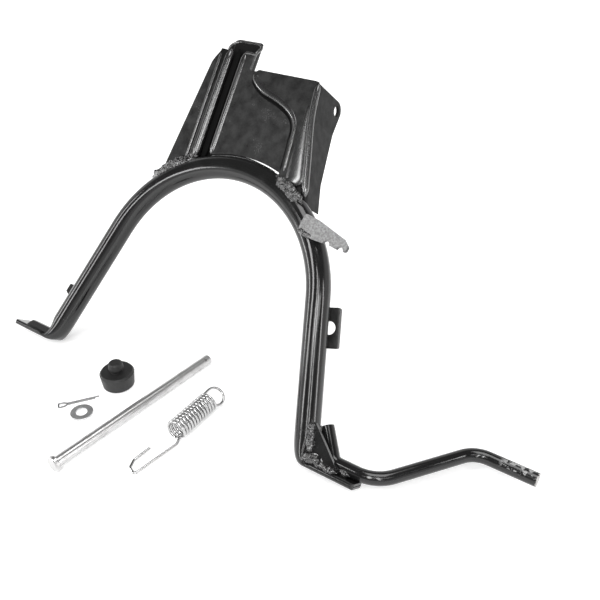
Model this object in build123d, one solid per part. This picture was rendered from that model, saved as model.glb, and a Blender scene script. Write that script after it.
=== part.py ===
"""Motorcycle centre stand, with the loose hardware that fits it.

The welded stand is drawn upright in its own frame: X across the machine, Y from the front face of
the bracket towards its back, Z up the stand, with the centre of the arch at the origin. It is then
leaned back about X and moved so that the pivot axis is the origin of the part. The pin, washer,
split pin, spring and buffer lie on the floor in front of the feet.
"""
from build123d import *
from math import asin, atan2, cos, degrees, hypot, radians, sin, tan
import os

# Arch tube
TUBE_D = 22.0
TUBE_WALL = 2.5
ARCH_R = 123.0
LEG_SPLAY = 16.5
LEG_DROP = 96.0

# The arch that the plain X and Z points below were set out for: they move with the real one
SET_OUT_R = 123.0
SET_OUT_SPLAY = 16.5

# Bracket sheets, stacked from the back to the front
SHEET = 3.0
BRACKET_CENTRE_X = -14.5
BRACKET_TOP = 217.0
BRACKET_BOTTOM_INSET = 3.0
FOLD_R = 4.0
PANEL_GAP = 1.4

# Pivot
PIN_D = 10.0
PIN_CLEARANCE = 0.05
PIVOT_Y = 40.0
PIVOT_Z = 206.5
EAR_R = 9.5

# Cheeks, as seen from the side
CHEEK_WAIST_Y = 27.0
CHEEK_WAIST_Z = 132.0
CHEEK_BOTTOM_Z = 100.0

# Right cheek and its web
RIGHT_TOP_X = 50.0
RIGHT_KINK_X = 54.5
RIGHT_KINK_Z = 184.0
RIGHT_FOOT_X = 75.0
RIGHT_FOOT_Z = 112.0
RIGHT_SETBACK = 6.0
WEB_LEFT_X = -20.0
STEP_X = 43.0
STEP_Z = 130.0

# Left cheek and its wing
LEFT_TOP_X = -80.5
LEFT_TOP_Z = 216.0
LEFT_FOOT_X = -95.0
LEFT_FOOT_Z = 104.0
WING_TOP_X = -71.0
WING_TOP_Z = 232.0
WING_NOTCH = 1.6

# Channel and panel
LIP_X = -69.0
MOUTH_X = -61.0
PANEL_X = -39.5
CHANNEL_RIGHT_X = -28.5
CHANNEL_DEPTH = 8.0
CHANNEL_TOP = 247.0
CHANNEL_FRONT_TOP = 232.0
CHANNEL_CORNER_R = 6.0
CHANNEL_BEND_R = 3.0
PANEL_TOP = 233.0
PANEL_LAP = 14.0

# Spring hook arm
ARM_T = 4.0
ARM_OUTLINE = (
    (87.5, 100.1),
    (102.7, 97.3),
    (129.8, 88.4),
    (136.0, 82.8),
    (134.8, 77.6),
    (125.0, 78.2),
    (118.5, 79.4),
    (101.1, 79.8),
    (91.0, 83.5),
    (85.0, 82.3),
    (85.6, 92.0),
)
ARM_CORNER_R = 2.4
NOTCHES = ((129.4, 77.6), (115.4, 79.2))
NOTCH_R = 3.4
ARM_DEG = 42.0

# Buffer tab and stop lug
TAB_T = 4.0
TAB_X = 131.0
TAB_WIDTH = 22.0
TAB_LENGTH = 36.0
TAB_Z = 12.5
TAB_HOLE_D = 12.0
TAB_HOLE_SHIFT = 1.5
LUG_Z = -48.0
LUG_LENGTH = 18.0
LUG_HEIGHT = 5.0
LUG_T = 8.0

# Feet: the leg's end, bent outward and pressed flat
FOOT_T = 5.0
FOOT_WIDTH = 24.0
FOOT_TIP_X = 208.0
FOOT_START_Z = -74.0
FOOT_OUTER_R = 17.0
FOOT_MID_T = 18.0
FOOT_MID_WIDTH = 22.6
FOOT_TIP_R = 5.0
FOOT_OVAL = 0.4
FOOT_SLIT = (17.0, 0.8, 3.0)
WEB_RISE = 6.5
WEB_SHORT = 16.0
WEB_SLANT = 6.5

# Kick lever and gusset
LEVER_D = 12.0
LEVER_Y = 3.5
LEVER_TOP_ANGLE = 35.0
LEVER_TOP_Z = -70.0
LEVER_HEEL_X = 181.0
LEVER_TOE_X = 220.0
LEVER_ELBOW = (275.0, 62.5, -44.6)
LEVER_END = (329.0, 62.0, -45.0)
LEVER_BENDS = (9.0, 34.0, 24.0)
GUSSET_T = 4.0
GUSSET_Y = -9.0
GUSSET_TOP_Z = -64.0
GUSSET_REACH = 22.0
GUSSET_COPE = 9.0

# Welds
BEAD_R = 4.0
SMALL_BEAD_R = 2.5
LEFT_BEAD_DEG = (134, 115)
RIGHT_BEAD_DEG = (70, 56)
TAB_BEAD_HALF = 13.0
GUSSET_BEAD_Z = (-68.0, -77.0, -85.0)
GUSSET_BEAD_X = (177.0, 188.0)
TOE_BEAD_X = (179.0, 198.0)
HEEL_BEAD_DZ = (1.0, -9.0)
ARM_BEAD = ((85.5, 85.5, -0.5), (92.0, 83.0, -0.5), (101.0, 82.0, 1.0))

# Pose on the floor
LEAN = 37.0

# Pivot pin, washer and split pin
PIN_LENGTH = 186.0
PIN_HEAD_D = 15.0
PIN_HEAD_T = 4.0
PIN_CHAMFER = 1.2
PIN_HOLE_D = 3.2
PIN_HOLE_INSET = 7.0
PIN_ROLL = 35.0
PIN_HEAD_AT = (-2.9, -336.4)
PIN_TIP_AT = (12.8, -151.3)
WASHER_D = 21.0
WASHER_BORE_D = 10.5
WASHER_T = 2.0
WASHER_AT = (-38.0, -274.2)
SPLIT_WIRE_D = 1.5
SPLIT_LENGTH = 36.0
SPLIT_EYE_R = 2.6
SPLIT_AT = (-62.5, -278.7)
SPLIT_TURN = 54.0

# Return spring
WIRE_D = 2.6
COIL_D = 17.0
COIL_TURNS = 13
COIL_PITCH = 3.55
HOOK_START_DEG = 60.0
HOOK_LINE = (
    (6.0, -5.5, 1.6),
    (-0.6, -51.5, 1.4),
    (-8.6, -47.9, 1.6),
    (-11.6, -40.4, 2.0),
    (-9.7, -22.5, 2.6),
)
HOOK_BENDS = (1.6, 2.0, 2.5, 4.0)
LOOP_LINE = (
    (-0.2, 9.2),
    (3.9, 9.0),
    (8.8, 9.1),
    (14.8, 6.4),
    (17.2, 0.4),
    (14.8, -5.6),
    (8.8, -8.2),
    (3.0, -6.2),
    (1.3, -3.2),
)
LOOP_SHIFT = 1.5
LOOP_TURN = 40.0
SPRING_AT = (57.4, -250.7)

# Rubber buffer
BUFFER_D = 33.0
BUFFER_BASE_D = 30.0
BUFFER_H = 17.0
BUFFER_NECK_D = 11.5
BUFFER_NECK_H = 4.2
BUFFER_NUB_D = 15.0
BUFFER_NUB_H = 6.0
BUFFER_AT = (-39.4, -225.5)

TUBE_R = TUBE_D / 2
SPLAY = radians(LEG_SPLAY)
PIN_R = PIN_D / 2
BORE_R = PIN_R + PIN_CLEARANCE
LEVER_R = LEVER_D / 2
WIRE_R = WIRE_D / 2
FOOT_TOP_Z = -LEG_DROP
CROWN_R = ARCH_R + TUBE_R
RISE = ARCH_R - SET_OUT_R
DEEP = 400.0


def leg_x(z, arch_r=ARCH_R, splay=SPLAY):
    """X of the right leg's centre line at height z."""
    return arch_r * cos(splay) + (arch_r * sin(splay) - z) * tan(splay)


def by_leg(x, z=FOOT_TOP_Z):
    """An X that was set out beside the right leg at height z, moved with the leg."""
    moved = leg_x(z) - leg_x(z, SET_OUT_R, radians(SET_OUT_SPLAY))
    return x + moved


def by_arm(x, z):
    """A point of the hook arm, moved with the place on the arch that carries it."""
    return (x + RISE * cos(radians(ARM_DEG)), z + RISE * sin(radians(ARM_DEG)))


def leg_point(z, outward, back=0.0):
    """A point beside the right leg: outward is square to the leg in the plane of the arch."""
    return Vector(leg_x(z) + outward * cos(SPLAY), back, z + outward * sin(SPLAY))


def largest(shape):
    """The biggest solid of a shape that a cut has parted."""
    return shape.solids().sort_by(SortBy.VOLUME)[-1]


def face_plane(y):
    """The XZ plane at depth y, drawn with local x to the right and local y up the stand."""
    return Plane(origin=(0, y, 0), x_dir=(1, 0, 0), z_dir=(0, -1, 0))


def side_plane(x, z=0.0):
    """The YZ plane at x, drawn with local x to the back and local y up the stand."""
    return Plane(origin=(x, 0, z), x_dir=(0, 1, 0), z_dir=(1, 0, 0))


def sheet(outline, front, back):
    """A flat sheet between two depths, cut to an outline of X and Z."""
    return extrude(face_plane(back) * outline, amount=back - front)


def side_sheet(points, left, right):
    """A slab between two X values, cut to an outline of Y and Z."""
    outline = make_face(Polyline(*points, close=True))
    return extrude(side_plane(left) * outline, amount=right - left)


def rod(path, radius):
    """A round bar along a path."""
    return sweep(Plane(origin=path @ 0, z_dir=path % 0) * Circle(radius), path=path)


def arch_rod(radius):
    """The arch and both legs as a round bar, with the legs run on past the feet."""
    tangent_x = ARCH_R * cos(SPLAY)
    tangent_z = ARCH_R * sin(SPLAY)
    end_z = FOOT_TOP_Z - TUBE_D
    end_x = leg_x(end_z)
    path = Line((-end_x, end_z), (-tangent_x, tangent_z))
    path += ThreePointArc((-tangent_x, tangent_z), (0, ARCH_R), (tangent_x, tangent_z))
    path += Line((tangent_x, tangent_z), (end_x, end_z))
    return rod(face_plane(0) * path, radius)


def crown_disc():
    """Everything nearer the arch centre than the sheets may reach."""
    return extrude(face_plane(DEEP / 2) * Circle(CROWN_R - BRACKET_BOTTOM_INSET), amount=DEEP)


def leg_plane(z):
    """A plane square to the right leg at height z, with local y across the stand's front and back."""
    return Plane(origin=(leg_x(z), 0, z), x_dir=(0, 1, 0), z_dir=(sin(SPLAY), 0, -cos(SPLAY)))


def make_foot():
    """The right foot: the leg's end bent outward and pressed flat, with the slit that leaves."""
    bottom_z = FOOT_TOP_Z - FOOT_T
    half_turn = radians(90 - LEG_SPLAY) / 2
    side_x = leg_x(bottom_z) - TUBE_R / cos(SPLAY)
    bend_x = side_x + FOOT_OUTER_R * tan(half_turn)
    outward = Vector(cos(half_turn), 0, -sin(half_turn))
    across = Vector(sin(half_turn), 0, cos(half_turn))
    mid = Vector(bend_x, 0, bottom_z + FOOT_OUTER_R) - across * (FOOT_OUTER_R - FOOT_MID_T / 2)
    flat_z = bottom_z + FOOT_T / 2
    flat_plane = side_plane(bend_x + 2, flat_z)
    flat = SlotOverall(FOOT_WIDTH, FOOT_T)
    round_end = SlotOverall(TUBE_D, TUBE_D - FOOT_OVAL)
    sections = [
        leg_plane(FOOT_START_Z) * round_end,
        leg_plane(FOOT_START_Z - 5) * round_end,
        Plane(origin=mid, x_dir=(0, 1, 0), z_dir=outward) * SlotOverall(FOOT_MID_WIDTH, FOOT_MID_T),
        flat_plane * flat,
        flat_plane.offset(6) * flat,
    ]
    body = loft(sections)
    start_x = bend_x + 8
    tip_x = by_leg(FOOT_TIP_X)
    body += extrude(side_plane(start_x, flat_z) * flat, amount=tip_x - start_x)
    plan = RectangleRounded(2 * tip_x, FOOT_WIDTH + 1, FOOT_TIP_R)
    body &= extrude(Plane.XY.offset(-DEEP / 2) * plan, amount=DEEP)
    width, gap, depth = FOOT_SLIT
    return body - Pos(tip_x, 0, flat_z) * Box(2 * depth, width, gap)


def make_foot_web(tube, foot):
    """The low web along the front of the left foot, drawn on the right."""
    tip = by_leg(FOOT_TIP_X) - WEB_SHORT
    top = FOOT_TOP_Z + WEB_RISE
    outline = make_face(
        Polyline(
            (tip, FOOT_TOP_Z - 1),
            (tip, FOOT_TOP_Z),
            (tip - WEB_SLANT, top),
            (leg_x(top), top),
            (leg_x(top), FOOT_TOP_Z - 1),
            close=True,
        )
    )
    return largest(sheet(outline, GUSSET_Y, GUSSET_Y + GUSSET_T) - tube - foot)


def cheek_profile(front_points):
    """The side outline of a cheek, from its front edge back to the rounded ear at the pivot."""
    corner_y = PIVOT_Y + EAR_R
    outline = make_face(
        Polyline(
            *front_points,
            (corner_y, PIVOT_Z + EAR_R),
            (corner_y, PIVOT_Z),
            (CHEEK_WAIST_Y, CHEEK_WAIST_Z),
            (CHEEK_WAIST_Y, CHEEK_BOTTOM_Z),
            close=True,
        )
    )
    ear = outline.vertices().sort_by(lambda v: v.X + v.Y)[-1]
    return fillet(ear, EAR_R * 0.97)


def cheek_slab(outer_points, thickness, inward, front_points):
    """A bent cheek: a ribbon of X and Z run back along Y, then cut to its side outline."""
    inner_points = [(x + inward * thickness, z) for x, z in reversed(outer_points)]
    ribbon = make_face(Polyline(*outer_points, *inner_points, close=True))
    slab = extrude(face_plane(DEEP / 4) * ribbon, amount=DEEP / 2)
    return slab & extrude(side_plane(-DEEP / 2) * cheek_profile(front_points), amount=DEEP)


def pivot_drill():
    """The pivot hole, right through both cheeks."""
    axis = Plane(origin=(-DEEP / 2, PIVOT_Y, PIVOT_Z), z_dir=(1, 0, 0))
    return extrude(axis * Circle(BORE_R), amount=DEEP)


def long_edges_near(body, x, y):
    """The long edges of a body whose middles lie at x and y: the outer corner of a fold."""
    return [e for e in body.edges() if hypot(e.center().X - x, e.center().Y - y) < 1 and e.length > 20]


def make_right_cheek(tube, disc):
    """The front sheet: web with its curved left edge, bent foot facet, and the right cheek."""
    front = -2 * SHEET
    back = -SHEET
    curved_edge = Spline(
        (WEB_LEFT_X, BRACKET_TOP - 3),
        (WEB_LEFT_X + 2, BRACKET_TOP - 11),
        (WEB_LEFT_X + 15, BRACKET_TOP - 20),
        (WEB_LEFT_X + 36, BRACKET_TOP - 27),
        (WEB_LEFT_X + 50, BRACKET_TOP - 34),
        (WEB_LEFT_X + 58, BRACKET_TOP - 43),
        (WEB_LEFT_X + 60.5, BRACKET_TOP - 57),
    )
    kink = (RIGHT_KINK_X, RIGHT_KINK_Z)
    step_foot = (STEP_X, STEP_Z)
    share = ARCH_R / CROWN_R
    inside = (share * STEP_X, share * (STEP_Z + RISE) - RISE)
    outline = curved_edge
    outline += Line(curved_edge @ 1, step_foot)
    outline += Line(step_foot, kink)
    outline += Line(kink, (RIGHT_TOP_X, BRACKET_TOP))
    outline += Line((RIGHT_TOP_X, BRACKET_TOP), (WEB_LEFT_X + 4, BRACKET_TOP))
    outline += Line((WEB_LEFT_X + 4, BRACKET_TOP), curved_edge @ 0)
    web = sheet(make_face(outline), front, back)

    crease = (Vector(*step_foot) - Vector(*kink)).normalized()
    square = Vector(-crease.Y, crease.X)
    reach = (Vector(RIGHT_FOOT_X, RIGHT_FOOT_Z) - Vector(*kink)).dot(square)

    def on_facet(x, z):
        """The facet's front face: it sets back evenly from the crease to the foot of the fold."""
        away = (Vector(x, z) - Vector(*kink)).dot(square)
        return (x, front + RIGHT_SETBACK * away / reach, z)

    fall = (RIGHT_FOOT_X - RIGHT_KINK_X) / (RIGHT_KINK_Z - RIGHT_FOOT_Z)
    low_z = CHEEK_BOTTOM_Z
    low_x = RIGHT_FOOT_X + fall * (RIGHT_FOOT_Z - low_z)
    corners = [on_facet(*kink), on_facet(low_x, low_z), on_facet(*inside), on_facet(*step_foot)]
    facet = extrude(make_face(Polyline(*corners, close=True)), amount=SHEET, dir=(0, 1, 0))

    outer = [(RIGHT_TOP_X, BRACKET_TOP), kink, (low_x, low_z)]
    low_front = on_facet(low_x, low_z)[1]
    front_points = [(low_front, low_z), (front, RIGHT_KINK_Z), (front, PIVOT_Z + EAR_R)]
    cheek = cheek_slab(outer, SHEET, -1, front_points)
    body = web + facet + cheek
    upper_fold = long_edges_near(body, (RIGHT_TOP_X + RIGHT_KINK_X) / 2, front)
    lower_fold = long_edges_near(body, (RIGHT_KINK_X + low_x) / 2, (front + low_front) / 2)
    body = fillet(upper_fold + lower_fold, FOLD_R)
    return body - tube - disc - pivot_drill()


def make_left_cheek(tube, disc):
    """The back sheet: the wing beside the channel and the left cheek behind it."""
    slope = (LEFT_TOP_X - LEFT_FOOT_X) / (LEFT_TOP_Z - LEFT_FOOT_Z)
    low_x = LEFT_FOOT_X - slope * (LEFT_FOOT_Z - CHEEK_BOTTOM_Z)
    hidden_x = MOUTH_X - SHEET - CHANNEL_BEND_R
    outline = Polyline(
        (hidden_x, WING_TOP_Z),
        (WING_TOP_X, WING_TOP_Z),
        (LEFT_TOP_X + WING_NOTCH, LEFT_TOP_Z + WING_NOTCH),
        (LEFT_TOP_X + WING_NOTCH, LEFT_TOP_Z),
        (LEFT_TOP_X, LEFT_TOP_Z),
        (low_x, CHEEK_BOTTOM_Z),
        (hidden_x, CHEEK_BOTTOM_Z),
        close=True,
    )
    wing = sheet(make_face(outline), 0, SHEET)
    outer = [(LEFT_TOP_X, LEFT_TOP_Z), (low_x, CHEEK_BOTTOM_Z)]
    front_points = [(0, CHEEK_BOTTOM_Z), (0, LEFT_TOP_Z), (PIVOT_Y / 2, PIVOT_Z + EAR_R)]
    cheek = cheek_slab(outer, SHEET, 1, front_points)
    body = wing + cheek
    fold = long_edges_near(body, (LEFT_TOP_X + low_x) / 2, 0)
    body = fillet(fold, FOLD_R)
    return body - tube - disc - pivot_drill()


def make_channel(tube, disc):
    """The folded channel: a lip over the wing, a deep groove, and a wall behind the panel's tab."""
    half = SHEET / 2
    section = FilletPolyline(
        (LIP_X, -half),
        (MOUTH_X - half, -half),
        (MOUTH_X - half, CHANNEL_DEPTH - half),
        (CHANNEL_RIGHT_X - half, CHANNEL_DEPTH - half),
        (CHANNEL_RIGHT_X - half, 0),
        radius=CHANNEL_BEND_R,
    )
    bottom = CHEEK_BOTTOM_Z
    body = extrude(Plane.XY.offset(bottom) * trace(section, SHEET), amount=CHANNEL_TOP - bottom)
    above = [
        (-DEEP / 4, CHANNEL_FRONT_TOP),
        (0, CHANNEL_FRONT_TOP),
        (CHANNEL_DEPTH - SHEET, CHANNEL_TOP - CHANNEL_CORNER_R),
        (CHANNEL_DEPTH, CHANNEL_TOP + 1),
        (CHANNEL_DEPTH, DEEP),
        (-DEEP / 4, DEEP),
    ]
    body -= side_sheet(above, -DEEP / 4, DEEP / 4)
    left = LIP_X - 1
    right = CHANNEL_RIGHT_X
    wall_left = MOUTH_X - SHEET
    round_top = make_face(
        Polyline(
            (left, bottom),
            (left, CHANNEL_FRONT_TOP),
            (wall_left, CHANNEL_FRONT_TOP),
            (wall_left, CHANNEL_TOP),
            (right, CHANNEL_TOP),
            (right, bottom),
            close=True,
        )
    )
    corners = round_top.vertices().group_by(Axis.Y)[-1]
    round_top = fillet(corners, CHANNEL_CORNER_R)
    body &= sheet(round_top, -DEEP / 4, DEEP / 4)
    return body - tube - disc


def make_panel():
    """The flat panel between the channel and the web, just clear of the tube below it."""
    tab_right = CHANNEL_RIGHT_X
    lap = WEB_LEFT_X + PANEL_LAP
    outline = Polyline(
        (PANEL_X, PANEL_TOP),
        (tab_right, PANEL_TOP),
        (tab_right, BRACKET_TOP - 1),
        (lap, BRACKET_TOP - 1),
        (STEP_X, RIGHT_KINK_Z),
        (STEP_X, 0),
        (PANEL_X, 0),
        close=True,
    )
    body = sheet(make_face(outline), -SHEET, 0)
    crown = Pos(0, -RISE) * Circle(CROWN_R + PANEL_GAP)
    return body - extrude(face_plane(DEEP / 2) * crown, amount=DEEP)


def make_hook_arm():
    """The spring's hook arm: a flat bar with a round nose and two scallops below it."""
    plain = make_face(Polyline(*[by_arm(*point) for point in ARM_OUTLINE], close=True))
    outline = fillet(plain.vertices(), ARM_CORNER_R)
    for notch in NOTCHES:
        outline -= Pos(*by_arm(*notch)) * Circle(NOTCH_R)
    return sheet(outline, -TUBE_R - ARM_T, -TUBE_R)


def make_buffer_tab(tube):
    """The plate behind the right leg that the rubber buffer presses into."""
    back = TUBE_R
    plate = RectangleRounded(TAB_WIDTH, TAB_LENGTH, 2.0)
    hole = Pos(TAB_HOLE_SHIFT, 0) * Circle(TAB_HOLE_D / 2)
    placed = Pos(by_leg(TAB_X, TAB_Z), TAB_Z) * Rot(0, 0, LEG_SPLAY) * (plate - hole)
    return sheet(placed, back, back + TAB_T) - tube


def make_stop_lug(tube):
    """A short stop welded to the outside of the left leg."""
    outline = make_face(
        Polyline(
            (0, LUG_LENGTH / 2),
            (TUBE_R + LUG_HEIGHT, LUG_LENGTH / 4),
            (TUBE_R + LUG_HEIGHT, -LUG_LENGTH / 4),
            (0, -LUG_LENGTH / 2),
            close=True,
        )
    )
    placed = Pos(leg_x(LUG_Z), LUG_Z) * Rot(0, 0, LEG_SPLAY) * outline
    lug = mirror(sheet(placed, -LUG_T / 2, LUG_T / 2), about=Plane.YZ)
    return lug - tube


def lever_points():
    """Corners of the kick lever's centre line."""
    reach = TUBE_R + LEVER_R
    side = radians(LEVER_TOP_ANGLE)
    top = leg_point(LEVER_TOP_Z, reach * cos(side), reach * sin(side))
    rest_z = FOOT_TOP_Z + LEVER_R
    return [
        top,
        Vector(by_leg(LEVER_HEEL_X), LEVER_Y, rest_z),
        Vector(by_leg(LEVER_TOE_X), LEVER_Y, rest_z),
        *[Vector(by_leg(x), y, z) for x, y, z in (LEVER_ELBOW, LEVER_END)],
    ]


def make_lever():
    """The kick lever: one round bar, bent three times."""
    return rod(FilletPolyline(*lever_points(), radius=LEVER_BENDS), LEVER_R)


def make_gusset(tube, foot):
    """The gusset between leg and foot, coped at the inner corner."""
    foot_x = leg_x(FOOT_TOP_Z) + TUBE_R
    outline = make_face(
        Polyline(
            (leg_x(GUSSET_TOP_Z), GUSSET_TOP_Z),
            (leg_x(GUSSET_TOP_Z) + TUBE_R + 1, GUSSET_TOP_Z),
            (foot_x + GUSSET_REACH, FOOT_TOP_Z + 4),
            (foot_x + GUSSET_REACH, FOOT_TOP_Z),
            (leg_x(FOOT_TOP_Z), FOOT_TOP_Z),
            close=True,
        )
    )
    outline -= Pos(foot_x + 1, FOOT_TOP_Z) * Circle(GUSSET_COPE)
    return largest(sheet(outline, GUSSET_Y, GUSSET_Y + GUSSET_T) - tube - foot)


def bead(points, radius):
    """A weld bead: a round run through points in the stand's frame, with domed ends."""
    path = Polyline(*points) if len(points) == 2 else Spline(*points)
    return rod(path, radius) + Pos(path @ 0) * Sphere(radius) + Pos(path @ 1) * Sphere(radius)


def arch_bead(start_deg, end_deg, radius, from_centre, y):
    """A bead laid round the outside of the arch between two angles."""
    steps = [start_deg + (end_deg - start_deg) * i / 2 for i in range(3)]
    points = [(from_centre * cos(radians(a)), y, from_centre * sin(radians(a))) for a in steps]
    return bead(points, radius)


def make_pin():
    """The pivot pin, drawn along Z with its head at the bottom."""
    profile = make_face(
        Polyline(
            (0, 0),
            (PIN_HEAD_D / 2 - 0.8, 0),
            (PIN_HEAD_D / 2, 0.8),
            (PIN_HEAD_D / 2, PIN_HEAD_T - 0.5),
            (PIN_HEAD_D / 2 - 0.5, PIN_HEAD_T),
            (PIN_R, PIN_HEAD_T),
            (PIN_R, PIN_LENGTH - PIN_CHAMFER),
            (PIN_R - PIN_CHAMFER, PIN_LENGTH),
            (0, PIN_LENGTH),
            close=True,
        )
    )
    body = revolve(Plane.XZ * profile, Axis.Z)
    cross = Pos(0, 0, PIN_LENGTH - PIN_HOLE_INSET) * Rot(0, 90, 0) * Cylinder(PIN_HOLE_D / 2, PIN_D * 2)
    return body - cross


def make_washer():
    """A flat washer, lying on its face."""
    ring = Circle(WASHER_D / 2) - Circle(WASHER_BORE_D / 2)
    body = extrude(ring, amount=WASHER_T)
    rims = body.edges().filter_by(GeomType.CIRCLE).group_by(SortBy.RADIUS)[-1]
    return chamfer(rims, 0.25)


def make_split_pin():
    """A split pin of half-round wire, drawn along X with its eye at the origin."""
    r = SPLIT_WIRE_D / 2
    gap = SPLIT_WIRE_D * 0.55
    legs = FilletPolyline(
        (SPLIT_LENGTH, gap, r),
        (SPLIT_EYE_R * 2.6, gap, r),
        (SPLIT_EYE_R * 1.4, SPLIT_EYE_R, r),
        (-SPLIT_EYE_R * 0.6, SPLIT_EYE_R * 1.1, r),
        (-SPLIT_EYE_R * 0.6, -SPLIT_EYE_R * 1.1, r),
        (SPLIT_EYE_R * 1.4, -SPLIT_EYE_R, r),
        (SPLIT_EYE_R * 2.6, -gap, r),
        (SPLIT_LENGTH - 4, -gap, r),
        radius=SPLIT_EYE_R * 0.45,
    )
    return rod(legs, r * 0.98)


def make_buffer():
    """The rubber buffer, standing on its narrow face with the press-in nub on top."""
    neck_r = BUFFER_NECK_D / 2
    nub_r = BUFFER_NUB_D / 2
    neck_top = BUFFER_H + BUFFER_NECK_H
    profile = make_face(
        Polyline(
            (0, 0),
            (BUFFER_BASE_D / 2 - 1.5, 0),
            (BUFFER_BASE_D / 2, 1.5),
            (BUFFER_D / 2, BUFFER_H - 2.0),
            (BUFFER_D / 2 - 1.5, BUFFER_H),
            (neck_r, BUFFER_H),
            (neck_r, neck_top),
            (nub_r, neck_top),
            (nub_r - 1.0, neck_top + BUFFER_NUB_H - 1.0),
            (nub_r - 2.2, neck_top + BUFFER_NUB_H),
            (0, neck_top + BUFFER_NUB_H),
            close=True,
        )
    )
    return revolve(Plane.XZ * profile, Axis.Z)


def make_spring():
    """The return spring, drawn along Y: close coils, a round loop, and a long open hook."""
    mean_r = COIL_D / 2
    axis_z = mean_r + WIRE_R
    length = COIL_PITCH * COIL_TURNS
    helix = Helix(COIL_PITCH, length, mean_r)
    section = Plane(origin=helix @ 0, z_dir=helix % 0) * Circle(WIRE_R)
    coil = sweep(section, path=helix, is_frenet=True)
    coil = Pos(0, 0, axis_z) * Rot(-90, 0, 0) * Rot(0, 0, HOOK_START_DEG) * coil

    loop_plane = Plane(
        origin=(LOOP_SHIFT, length, axis_z),
        x_dir=(0, 1, 0),
        z_dir=(sin(radians(LOOP_TURN)), 0, cos(radians(LOOP_TURN))),
    )
    loop = rod(loop_plane * Spline(*LOOP_LINE), WIRE_R)
    turn = radians(HOOK_START_DEG)
    start = (mean_r * cos(turn), 0, axis_z - mean_r * sin(turn))
    hook = rod(FilletPolyline(start, *HOOK_LINE, radius=HOOK_BENDS), WIRE_R)
    return coil + Pos(*start) * Sphere(WIRE_R) + hook + loop


def stand_pieces():
    """Every piece of the welded stand, by name, in the stand's own frame."""
    bar = arch_rod(TUBE_R)
    disc = crown_disc()
    foot = make_foot()
    left_foot = mirror(foot, about=Plane.YZ)
    end = leg_plane(FOOT_START_Z)
    below = extrude(end * Circle(TUBE_D), amount=DEEP / 2)
    tube = bar - arch_rod(TUBE_R - TUBE_WALL) - below - mirror(below, about=Plane.YZ)
    lift = Pos(0, 0, RISE)
    low_bar = Pos(0, 0, -RISE) * bar
    low_disc = Pos(0, 0, -RISE) * disc
    right_cheek = lift * make_right_cheek(low_bar, low_disc)
    left_cheek = lift * make_left_cheek(low_bar, low_disc)
    channel = lift * make_channel(low_bar, low_disc)
    panel = lift * make_panel()
    arm = make_hook_arm()
    tab = make_buffer_tab(bar)
    lug = make_stop_lug(bar)
    lever = make_lever()
    gusset = make_gusset(tube, foot)
    left_bead = arch_bead(*LEFT_BEAD_DEG, BEAD_R, CROWN_R + 1, -1.5)
    right_bead = arch_bead(*RIGHT_BEAD_DEG, BEAD_R * 1.1, CROWN_R - 3.5, -8.5)
    arm_front = -TUBE_R - ARM_T / 2
    foot_bead_y = GUSSET_Y - 0.6
    foot_bead_z = FOOT_TOP_Z + 1.2

    tab_line = [leg_point(TAB_Z + dz, -3.4, TUBE_R + 0.6) for dz in (-TAB_BEAD_HALF, 0, TAB_BEAD_HALF)]
    gusset_line = [leg_point(z, TUBE_R * 0.72, GUSSET_Y - 0.4) for z in GUSSET_BEAD_Z]
    toe_line = [(by_leg(x), LEVER_Y - 5.6, FOOT_TOP_Z + 2.4) for x in TOE_BEAD_X]
    heel_line = [leg_point(LEVER_TOP_Z + dz, TUBE_R * 0.98, -0.5) for dz in HEEL_BEAD_DZ]
    arm_line = []
    for x, z, back in ARM_BEAD:
        moved_x, moved_z = by_arm(x, z)
        arm_line.append((moved_x, arm_front + back, moved_z))
    gusset_foot = [(by_leg(x), foot_bead_y, foot_bead_z) for x in GUSSET_BEAD_X]

    return {
        "arch_tube": tube,
        "bracket_left_cheek": left_cheek,
        "bracket_right_cheek": right_cheek,
        "bracket_channel": channel,
        "bracket_panel": panel,
        "spring_hook_arm": arm,
        "buffer_tab": tab,
        "stop_lug": lug,
        "left_foot": left_foot,
        "right_foot": foot,
        "left_foot_web": mirror(make_foot_web(tube, foot), about=Plane.YZ),
        "foot_gusset": gusset,
        "kick_lever": lever,
        "weld_left_cheek": largest(left_bead - bar - left_cheek - channel),
        "weld_right_cheek": largest(right_bead - bar - right_cheek),
        "weld_hook_arm": largest(bead(arm_line, SMALL_BEAD_R) - bar - arm),
        "weld_buffer_tab": largest(bead(tab_line, SMALL_BEAD_R) - bar - tab),
        "weld_gusset_leg": largest(bead(gusset_line, SMALL_BEAD_R) - bar - foot - gusset),
        "weld_gusset_foot": largest(bead(gusset_foot, SMALL_BEAD_R * 0.8) - foot - gusset),
        "weld_lever_foot": largest(bead(toe_line, SMALL_BEAD_R) - foot - lever),
        "weld_lever_leg": largest(bead(heel_line, SMALL_BEAD_R) - bar - foot - lever),
    }


def loose_pieces(floor_z):
    """The hardware lying on the floor, by name, in the part's frame."""
    pin_turn = degrees(atan2(PIN_TIP_AT[1] - PIN_HEAD_AT[1], PIN_TIP_AT[0] - PIN_HEAD_AT[0]))
    pin_dip = degrees(asin((PIN_HEAD_D / 2 - PIN_R) / (PIN_LENGTH - PIN_HEAD_T)))
    pin = Rot(0, 90 + pin_dip, 0) * Rot(0, 0, PIN_ROLL) * make_pin()
    pin = Pos(*PIN_HEAD_AT, floor_z + PIN_HEAD_D / 2 + 0.1) * Rot(0, 0, pin_turn) * pin
    split = Pos(*SPLIT_AT, floor_z) * Rot(0, 0, SPLIT_TURN) * make_split_pin()
    return {
        "pivot_pin": pin,
        "pin_washer": Pos(*WASHER_AT, floor_z) * make_washer(),
        "split_pin": split,
        "return_spring": Pos(*SPRING_AT, floor_z) * make_spring(),
        "rubber_buffer": Pos(*BUFFER_AT, floor_z) * make_buffer(),
    }


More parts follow.
